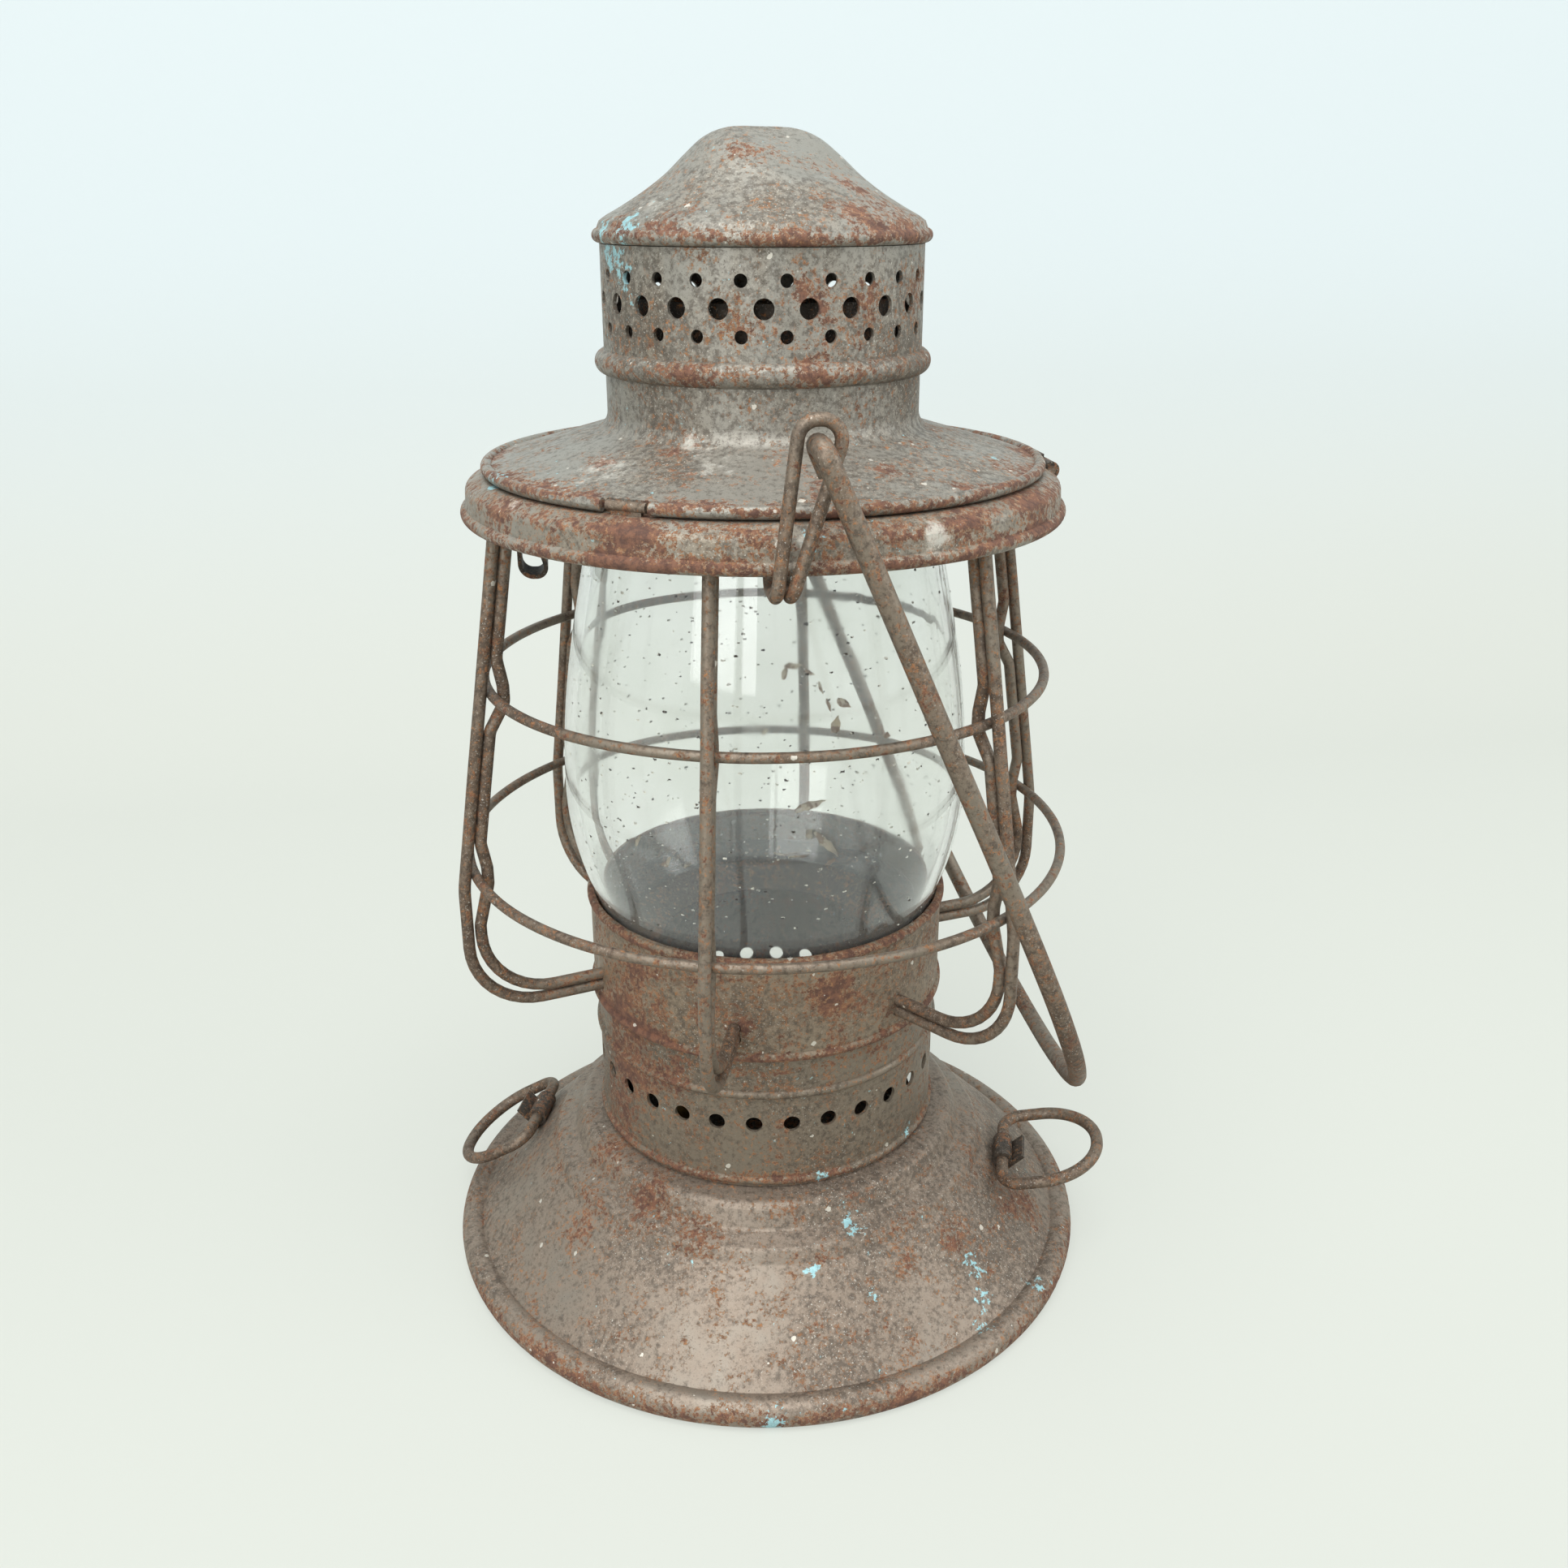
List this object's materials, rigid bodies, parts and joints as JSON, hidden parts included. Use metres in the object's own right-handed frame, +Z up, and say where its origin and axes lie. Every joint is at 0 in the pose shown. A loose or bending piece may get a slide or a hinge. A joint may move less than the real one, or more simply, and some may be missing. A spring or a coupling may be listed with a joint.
{
  "type": "hanging lantern",
  "caption": "Tin oil lantern with a bell foot, perforated air collar, clear globe in a wire cage, hinged chimney lid and a swinging wire bail to hang or carry it by.",
  "frame": {"origin": "centre of the foot, on the surface the lantern stands on", "axes": "+Z up, the bail's pivot axis along Y, the lid hinge on +X and the latch on -X"},
  "size_m": [0.1638, 0.1602, 0.2634],
  "materials": {
    "aged_tin": "dull tin plate with brown rust",
    "rusty_wire": "rusted iron wire",
    "globe_glass": "clear blown glass, dusty",
    "burner_brass": "tarnished brass",
    "wick_cotton": "woven cotton"
  },
  "bodies": {
    "frame": {"bell_base": "aged_tin", "vent_collar": "aged_tin", "globe_collar": "aged_tin", "globe_seat": "aged_tin", "globe": "globe_glass", "top_band": "aged_tin", "lid_lug": "rusty_wire", "hinge_bracket": "aged_tin", "hinge_pin": "rusty_wire", "latch_bracket": "aged_tin", "latch_pin": "rusty_wire", "upper_guard_ring": "rusty_wire", "lower_guard_ring": "rusty_wire", "guard_outer_1": "rusty_wire", "guard_outer_2": "rusty_wire", "guard_outer_3": "rusty_wire", "guard_outer_4": "rusty_wire", "guard_outer_5": "rusty_wire", "guard_outer_6": "rusty_wire", "guard_inner_1": "rusty_wire", "guard_inner_2": "rusty_wire", "guard_inner_3": "rusty_wire", "guard_inner_4": "rusty_wire", "guard_inner_5": "rusty_wire", "guard_inner_6": "rusty_wire", "bail_ear_front": "rusty_wire", "bail_ear_back": "rusty_wire", "ring_strap_right": "aged_tin", "ring_strap_left": "aged_tin", "fount_clips": "aged_tin"},
    "lid": {"smoke_dome": "aged_tin", "vent_band": "aged_tin", "brim": "aged_tin", "draft_tube": "aged_tin", "globe_crown": "aged_tin", "lid_hinge_leaf": "aged_tin", "latch_keeper": "aged_tin"},
    "bail": {"bail": "rusty_wire"},
    "latch": {"latch_spring": "aged_tin"},
    "right_ring": {"base_ring_right": "rusty_wire"},
    "left_ring": {"base_ring_left": "rusty_wire"},
    "fount": {"fount_pot": "aged_tin", "fount_top": "aged_tin", "filler_cap": "burner_brass", "burner_collar": "burner_brass", "burner_deck": "burner_brass", "wick_tube": "burner_brass", "burner_cone": "burner_brass"},
    "wick_wheel": {"wick_wheel": "burner_brass"},
    "wick": {"wick": "wick_cotton"}
  },
  "joints": [
    {"name": "bail_swing", "type": "hinge", "parent": "frame", "child": "bail", "pos_m": [0, 0, 0.2106], "axis": [0, -1, 0], "range_deg": [0, 312]},
    {"name": "lid_open", "type": "hinge", "parent": "frame", "child": "lid", "pos_m": [0.0623, 0, 0.1945], "axis": [0, 1, 0], "range_deg": [0, 100]},
    {"name": "latch_press", "type": "hinge", "parent": "frame", "child": "latch", "pos_m": [-0.0554, 0, 0.1914], "axis": [0, -1, 0], "range_deg": [0, 8], "stiffness_Nm_per_rad": 0.02},
    {"name": "right_ring_flap", "type": "hinge", "parent": "frame", "child": "right_ring", "pos_m": [0.0586, -0.01848, 0.02255], "axis": [-0.3007, -0.9537, 0], "range_deg": [-49, 92]},
    {"name": "left_ring_flap", "type": "hinge", "parent": "frame", "child": "left_ring", "pos_m": [-0.0586, 0.01848, 0.02255], "axis": [0.3007, 0.9537, 0], "range_deg": [-5, 136]},
    {"name": "fount_twist", "type": "hinge", "parent": "frame", "child": "fount", "pos_m": [0, 0, 0.02], "axis": [0, 0, 1], "range_deg": [0, 25]},
    {"name": "wick_turn", "type": "hinge", "parent": "fount", "child": "wick_wheel", "pos_m": [0, -0.0046, 0.05205], "axis": [1, 0, 0], "range_deg": [-60, 60]},
    {"name": "wick_raise", "type": "slide", "parent": "fount", "child": "wick", "axis": [0, 0, 1], "range_m": [-0.0032, 0.0032]}
  ],
  "couplings": [
    {"joint": "wick_raise", "follows": "wick_turn", "m_per_rad": 0.0026}
  ]
}
